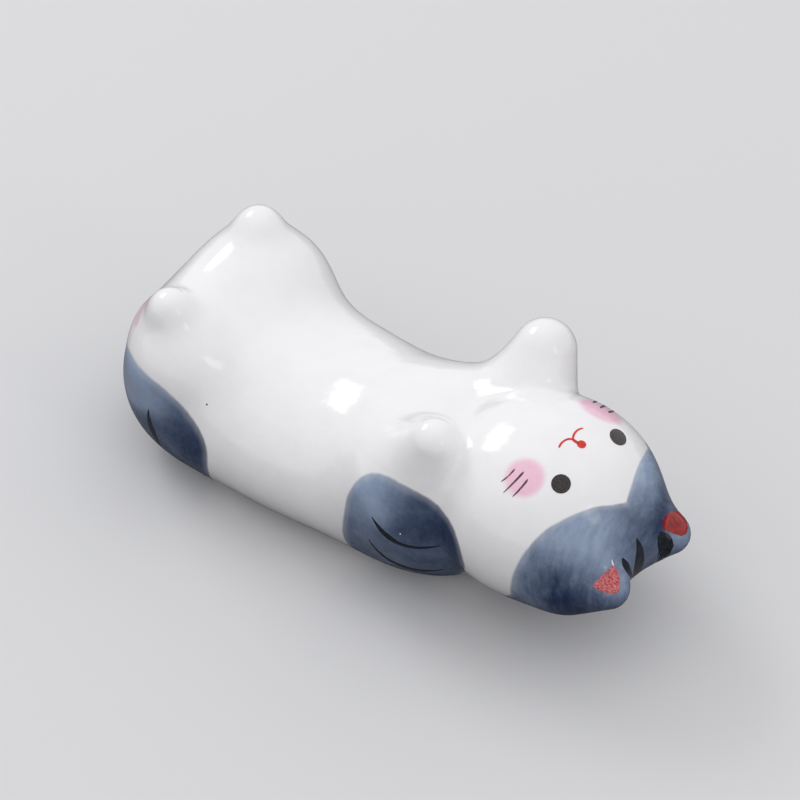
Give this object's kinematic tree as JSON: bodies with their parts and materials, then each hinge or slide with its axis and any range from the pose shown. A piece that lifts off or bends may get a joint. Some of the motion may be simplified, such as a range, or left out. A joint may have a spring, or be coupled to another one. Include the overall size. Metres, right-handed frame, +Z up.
{
  "type": "chopstick rest",
  "caption": "Glazed porcelain chopstick rest in the form of a kitten lying on its back; the sticks lie across its belly, between paws and hind feet.",
  "frame": {"origin": "middle of the overall box, on the plane that the flat foot stands on", "axes": "+X towards the kitten's head, +Z up, +Y towards its right side"},
  "size_m": [0.0625, 0.025, 0.0239],
  "materials": {
    "white_glaze": "glossy white porcelain glaze with hand-painted blue-grey patches",
    "slate_glaze": "glossy glaze over blue-grey underglaze wash, red inside the ears"
  },
  "bodies": {
    "root": {"torso": "white_glaze", "head": "white_glaze", "left_ear": "slate_glaze", "right_ear": "slate_glaze", "left_forepaw": "white_glaze", "right_forepaw": "white_glaze", "left_hind_leg": "white_glaze", "right_hind_leg": "white_glaze"}
  },
  "joints": []
}
